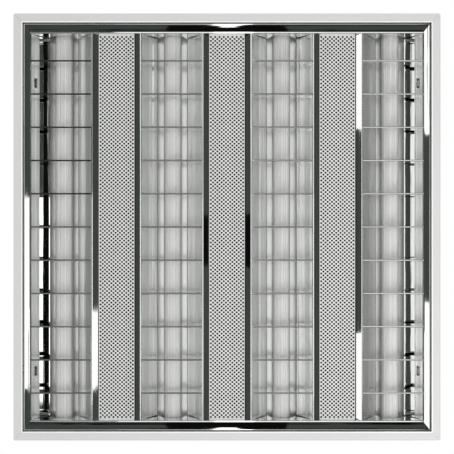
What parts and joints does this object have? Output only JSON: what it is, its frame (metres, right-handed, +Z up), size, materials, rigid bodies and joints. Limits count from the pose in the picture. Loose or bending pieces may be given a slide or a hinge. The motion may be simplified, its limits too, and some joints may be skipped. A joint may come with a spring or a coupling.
{
  "type": "recessed louver ceiling light",
  "caption": "Square recessed ceiling light with tubular lamps behind a mirror louver of parabolic reflectors and cross blades, with perforated panels between the lamps.",
  "frame": {"origin": "middle of the rim's underside, the plane that lies on the ceiling grid", "axes": "+Z up into the ceiling, Y along the lamps, X across them; the louver faces -Z and its hinge is on the -X side"},
  "size_m": [0.62, 0.62, 0.0861],
  "materials": {
    "white_enamel": "white powder coat, satin",
    "mirror_aluminium": "bright anodised reflector sheet",
    "white_perforated_sheet": "white painted perforated sheet",
    "opal_cover": "opal, satin",
    "cap_plastic": "moulded white",
    "pin_brass": "turned brass",
    "board_laminate": "white solder mask",
    "white_plastic": "moulded white",
    "spring_steel": "bright spring steel",
    "zinc_plated_steel": "zinc plated",
    "black_rubber": "matte",
    "black_film": "matte black film",
    "brown_insulation": "wire insulation",
    "blue_insulation": "wire insulation",
    "green_insulation": "wire insulation"
  },
  "bodies": {
    "housing": {"housing_back": "white_enamel", "housing_walls": "white_enamel", "rim_frame": "white_enamel", "gear_tray": "mirror_aluminium", "gear_tray_screws": "zinc_plated_steel", "wall_rivets": "zinc_plated_steel", "terminal_screws": "zinc_plated_steel", "earth_terminal": "zinc_plated_steel", "cable_grommet": "black_rubber", "terminal_block": "white_plastic", "wire_clips": "white_plastic", "live_wires": "brown_insulation", "neutral_wires": "blue_insulation", "earth_wire": "green_insulation", "hinge_hooks": "spring_steel", "catch_guides": "spring_steel", "lampholders_1": "white_plastic", "lampholders_2": "white_plastic", "lampholders_3": "white_plastic", "lampholders_4": "white_plastic"},
    "louver": {"panel_backings": "black_film", "reflector_1_left": "mirror_aluminium", "reflector_1_right": "mirror_aluminium", "cross_blades_1": "mirror_aluminium", "reflector_2_left": "mirror_aluminium", "reflector_2_right": "mirror_aluminium", "cross_blades_2": "mirror_aluminium", "reflector_3_left": "mirror_aluminium", "reflector_3_right": "mirror_aluminium", "cross_blades_3": "mirror_aluminium", "reflector_4_left": "mirror_aluminium", "reflector_4_right": "mirror_aluminium", "cross_blades_4": "mirror_aluminium", "end_reflector_front": "mirror_aluminium", "end_reflector_rear": "mirror_aluminium", "perforated_panel_1": "white_perforated_sheet", "perforated_panel_2": "white_perforated_sheet", "perforated_panel_3": "white_perforated_sheet"},
    "catch_front": {"catch_front": "spring_steel"},
    "catch_rear": {"catch_rear": "spring_steel"},
    "tube_1": {"tube_1_cover": "opal_cover", "tube_1_caps": "cap_plastic", "tube_1_pins": "pin_brass", "tube_1_boards": "board_laminate", "tube_1_rotors": "white_plastic"},
    "tube_2": {"tube_2_cover": "opal_cover", "tube_2_caps": "cap_plastic", "tube_2_pins": "pin_brass", "tube_2_boards": "board_laminate", "tube_2_rotors": "white_plastic"},
    "tube_3": {"tube_3_cover": "opal_cover", "tube_3_caps": "cap_plastic", "tube_3_pins": "pin_brass", "tube_3_boards": "board_laminate", "tube_3_rotors": "white_plastic"},
    "tube_4": {"tube_4_cover": "opal_cover", "tube_4_caps": "cap_plastic", "tube_4_pins": "pin_brass", "tube_4_boards": "board_laminate", "tube_4_rotors": "white_plastic"}
  },
  "joints": [
    {"name": "louver_swing", "type": "hinge", "parent": "housing", "child": "louver", "pos_m": [-0.28009, 0, 0.02], "axis": [0, 1, 0], "range_deg": [0, 65]},
    {"name": "catch_front_release", "type": "slide", "parent": "housing", "child": "catch_front", "axis": [1, 0, 0], "range_m": [0, 0.005], "stiffness_N_per_m": 400},
    {"name": "catch_rear_release", "type": "slide", "parent": "housing", "child": "catch_rear", "axis": [1, 0, 0], "range_m": [0, 0.005], "stiffness_N_per_m": 400},
    {"name": "tube_1_twist", "type": "hinge", "parent": "housing", "child": "tube_1", "pos_m": [-0.2421, 0, 0.0435], "axis": [0, 1, 0], "range_deg": [0, 90]},
    {"name": "tube_2_twist", "type": "hinge", "parent": "housing", "child": "tube_2", "pos_m": [-0.0807, 0, 0.0435], "axis": [0, 1, 0], "range_deg": [0, 90]},
    {"name": "tube_3_twist", "type": "hinge", "parent": "housing", "child": "tube_3", "pos_m": [0.0807, 0, 0.0435], "axis": [0, 1, 0], "range_deg": [0, 90]},
    {"name": "tube_4_twist", "type": "hinge", "parent": "housing", "child": "tube_4", "pos_m": [0.2421, 0, 0.0435], "axis": [0, 1, 0], "range_deg": [0, 90]}
  ]
}
